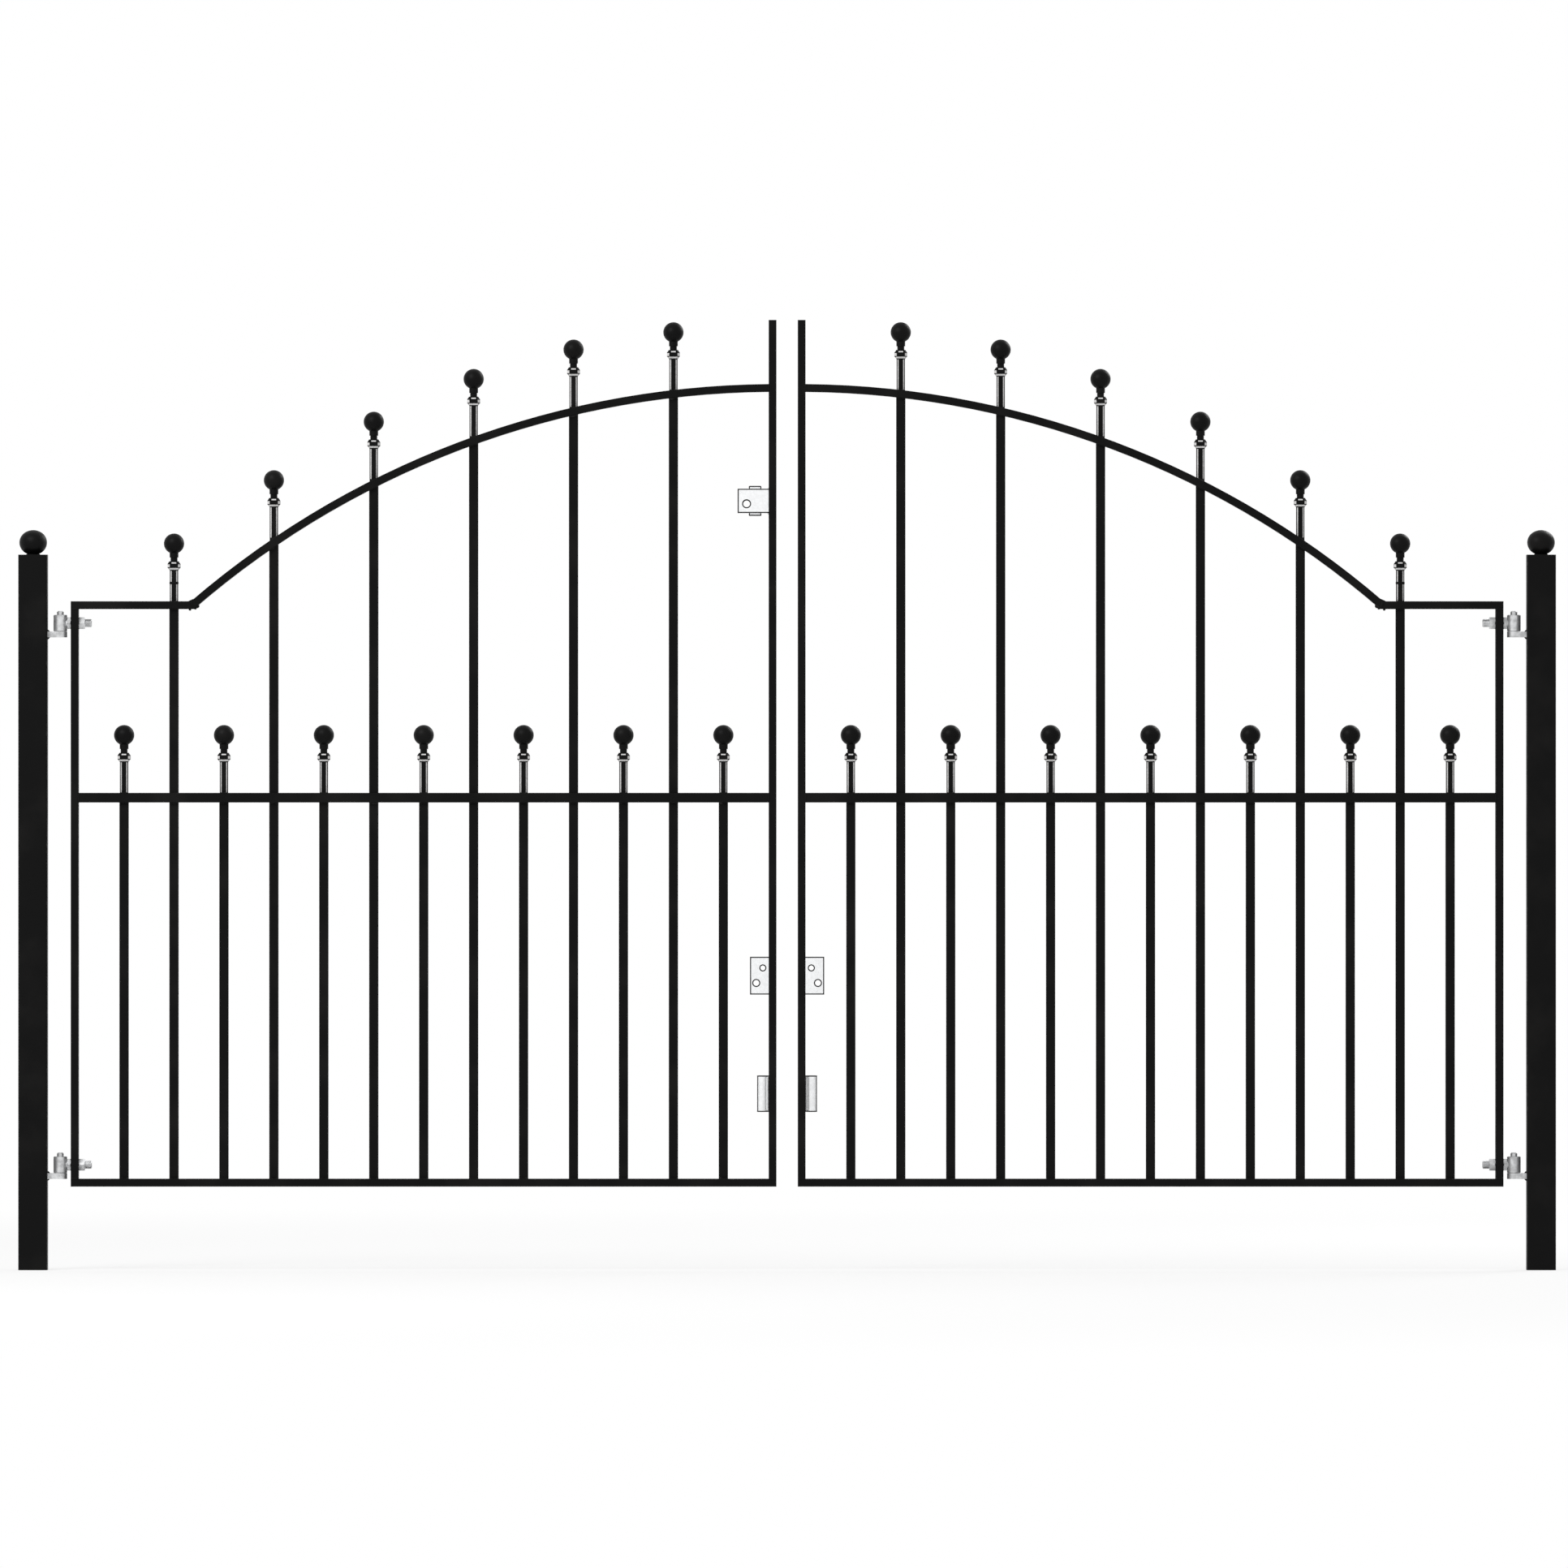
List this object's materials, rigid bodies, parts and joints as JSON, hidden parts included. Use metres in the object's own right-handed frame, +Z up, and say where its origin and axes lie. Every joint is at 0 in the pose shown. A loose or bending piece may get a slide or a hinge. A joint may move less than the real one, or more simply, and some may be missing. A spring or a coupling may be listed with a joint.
{
  "type": "arched double driveway gate with posts",
  "caption": "Pair of arched wrought iron driveway gate leaves with dog bars and ball finials, hung between two square posts.",
  "frame": {"origin": "centre of the left post's foot, at ground level", "axes": "+X along the opening to the right post, +Y to the side that the leaves open to, +Z up"},
  "size_m": [3.17, 0.06, 1.959],
  "materials": {
    "black_wrought_steel": "satin black paint over mill-finished steel bar",
    "black_castings": "satin black paint over cast steel",
    "zinc_fittings": "pale zinc plating"
  },
  "bodies": {
    "posts": {"left_post": "black_wrought_steel", "right_post": "black_wrought_steel", "left_post_base": "black_wrought_steel", "right_post_base": "black_wrought_steel", "left_post_cap": "black_wrought_steel", "right_post_cap": "black_wrought_steel", "left_post_ball": "black_castings", "right_post_ball": "black_castings", "left_hinge_pins": "zinc_fittings", "right_hinge_pins": "zinc_fittings"},
    "left_leaf": {"left_hanging_stile": "black_wrought_steel", "left_meeting_stile": "black_wrought_steel", "left_bottom_rail": "black_wrought_steel", "left_middle_rail": "black_wrought_steel", "left_shoulder_rail": "black_wrought_steel", "left_arch_rail": "black_wrought_steel", "left_long_bars": "black_wrought_steel", "left_short_bars": "black_wrought_steel", "left_long_bar_finials": "black_castings", "left_short_bar_finials": "black_castings", "left_hinge_eye_bolts": "zinc_fittings", "left_hinge_nuts": "zinc_fittings", "left_latch_plate": "zinc_fittings", "left_drop_bolt_guide": "zinc_fittings", "lock_box": "zinc_fittings", "lock_box_tabs": "zinc_fittings"},
    "right_leaf": {"right_hanging_stile": "black_wrought_steel", "right_meeting_stile": "black_wrought_steel", "right_bottom_rail": "black_wrought_steel", "right_middle_rail": "black_wrought_steel", "right_shoulder_rail": "black_wrought_steel", "right_arch_rail": "black_wrought_steel", "right_long_bars": "black_wrought_steel", "right_short_bars": "black_wrought_steel", "right_long_bar_finials": "black_castings", "right_short_bar_finials": "black_castings", "right_hinge_eye_bolts": "zinc_fittings", "right_hinge_nuts": "zinc_fittings", "right_latch_plate": "zinc_fittings", "right_drop_bolt_guide": "zinc_fittings"}
  },
  "joints": [
    {"name": "left_leaf_hinge", "type": "hinge", "parent": "posts", "child": "left_leaf", "pos_m": [0.056, 0, 0.217], "axis": [0, 0, 1], "range_deg": [0, 90]},
    {"name": "right_leaf_hinge", "type": "hinge", "parent": "posts", "child": "right_leaf", "pos_m": [3.054, 0, 0.217], "axis": [0, 0, -1], "range_deg": [0, 90]}
  ]
}
